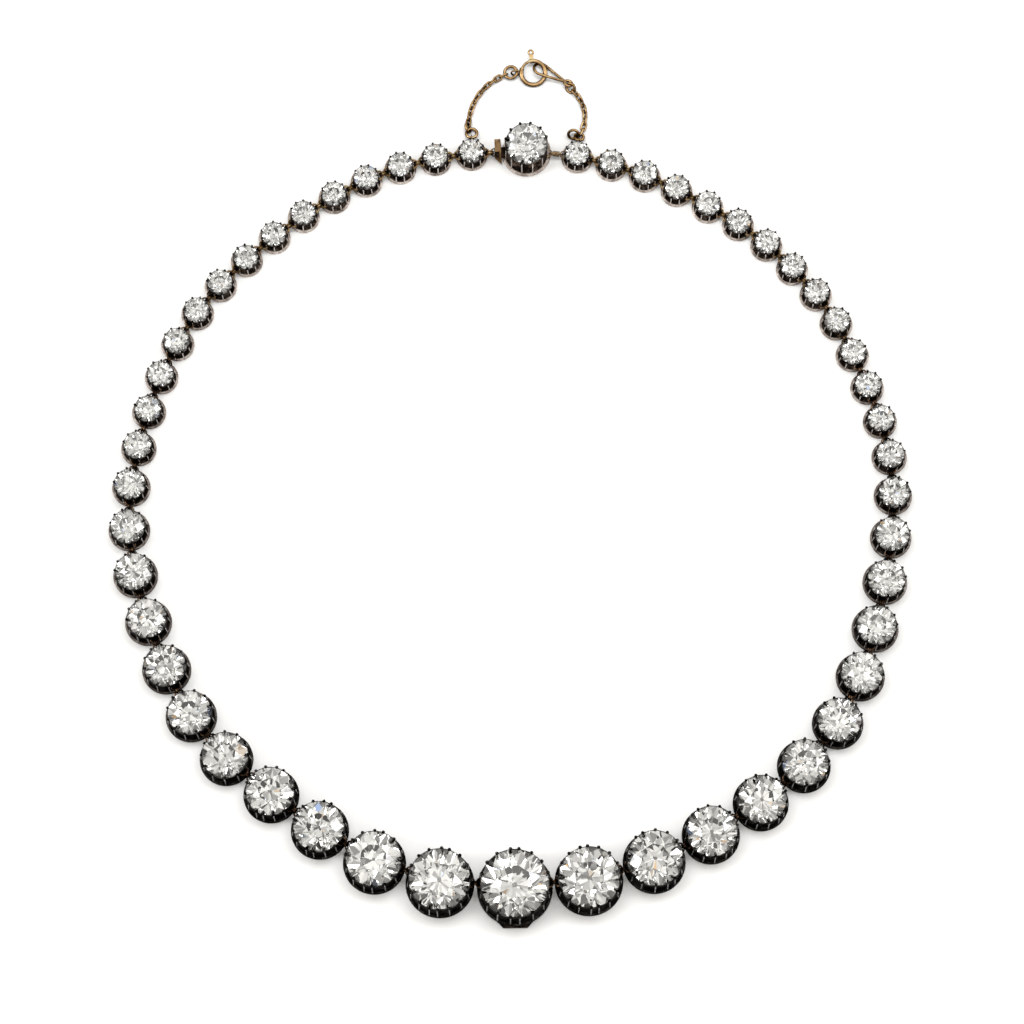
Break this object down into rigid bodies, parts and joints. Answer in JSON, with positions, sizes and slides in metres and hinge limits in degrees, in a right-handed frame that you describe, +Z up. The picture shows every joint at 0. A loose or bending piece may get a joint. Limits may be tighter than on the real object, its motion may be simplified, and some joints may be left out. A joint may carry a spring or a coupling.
{
  "type": "riviere necklace",
  "caption": "Graded riviere necklace laid as a closed oval: old-cut stones in cut-down collets, a box clasp with folded tongue, and a safety chain with a bolt ring.",
  "frame": {"origin": "on the surface that the necklace lies on, under the middle of its bounding box", "axes": "+Z up from the surface, +Y from the largest stone towards the clasp, +X to the right seen from above"},
  "size_m": [0.1382, 0.1544, 0.0103],
  "materials": {
    "diamond": "old-cut facets, polished",
    "silver": "aged silver, dark walls with worn bright ribs and rims",
    "gold": "worn rose gold"
  },
  "bodies": {
    "necklace": {"stone_center": "diamond", "stone_clasp": "diamond", "stones_left": "diamond", "stones_right": "diamond", "stone_left_1": "diamond", "stone_right_1": "diamond", "stone_left_2": "diamond", "stone_right_2": "diamond", "stone_left_3": "diamond", "stone_right_3": "diamond", "stone_left_4": "diamond", "stone_right_4": "diamond", "stone_left_5": "diamond", "stone_right_5": "diamond", "stone_left_6": "diamond", "stone_right_6": "diamond", "stone_left_7": "diamond", "stone_right_7": "diamond", "stone_left_8": "diamond", "stone_right_8": "diamond", "stone_left_9": "diamond", "stone_right_9": "diamond", "collet_center": "silver", "center_plate": "silver", "clasp_box_collet": "silver", "clasp_tongue": "gold", "collets_left": "silver", "collets_right": "silver", "collet_left_1": "silver", "collet_right_1": "silver", "collet_left_2": "silver", "collet_right_2": "silver", "collet_left_3": "silver", "collet_right_3": "silver", "collet_left_4": "silver", "collet_right_4": "silver", "collet_left_5": "silver", "collet_right_5": "silver", "collet_left_6": "silver", "collet_right_6": "silver", "collet_left_7": "silver", "collet_right_7": "silver", "collet_left_8": "silver", "collet_right_8": "silver", "collet_left_9": "silver", "collet_right_9": "silver", "links_left": "gold", "links_right": "gold", "chain_left": "gold", "chain_right": "gold", "jump_ring_left": "gold", "end_ring_left": "gold", "jump_ring_right": "gold", "spare_ring_right": "gold", "round_ring": "gold", "link_ring": "gold", "drop_loop": "gold", "bolt_ring": "gold"},
    "trigger": {"bolt_trigger": "gold"}
  },
  "joints": [
    {"name": "bolt_slide_round", "type": "hinge", "parent": "necklace", "child": "trigger", "pos_m": [0.00396, 0.07309, 0.00084], "axis": [0, -0.1994, 0.9799], "range_deg": [-42, 0], "stiffness_Nm_per_rad": 0.003}
  ]
}
